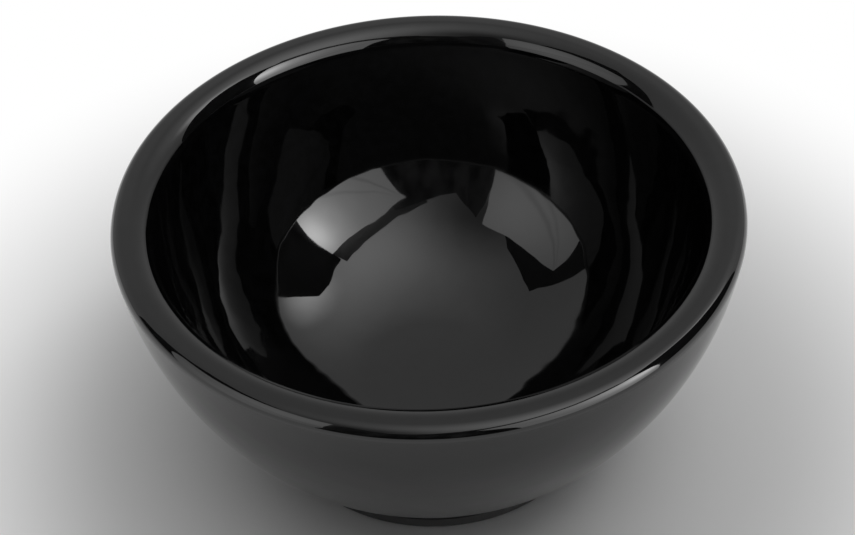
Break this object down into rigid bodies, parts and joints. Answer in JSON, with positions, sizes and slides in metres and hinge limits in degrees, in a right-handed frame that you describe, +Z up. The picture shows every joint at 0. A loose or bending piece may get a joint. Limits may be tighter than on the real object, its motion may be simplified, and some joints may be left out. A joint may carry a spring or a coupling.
{
  "type": "salad bowl",
  "caption": "Deep round serving bowl with a double wall, a broad rounded rim, a bowed glossy body and a low non-slip foot ring.",
  "frame": {"origin": "centre of the face that the foot ring stands on", "axes": "+Z up along the bowl's axis, out of its opening; X and Y are free, because every piece is turned about Z"},
  "size_m": [0.2536, 0.2536, 0.124],
  "materials": {
    "melamine": "high gloss, jet black",
    "adhesive": "cured, dull black",
    "elastomer": "matte black"
  },
  "bodies": {
    "root": {"inner_bowl": "melamine", "outer_shell": "melamine", "rim_bond": "adhesive", "floor_bond": "adhesive", "foot_ring": "elastomer"}
  },
  "joints": []
}
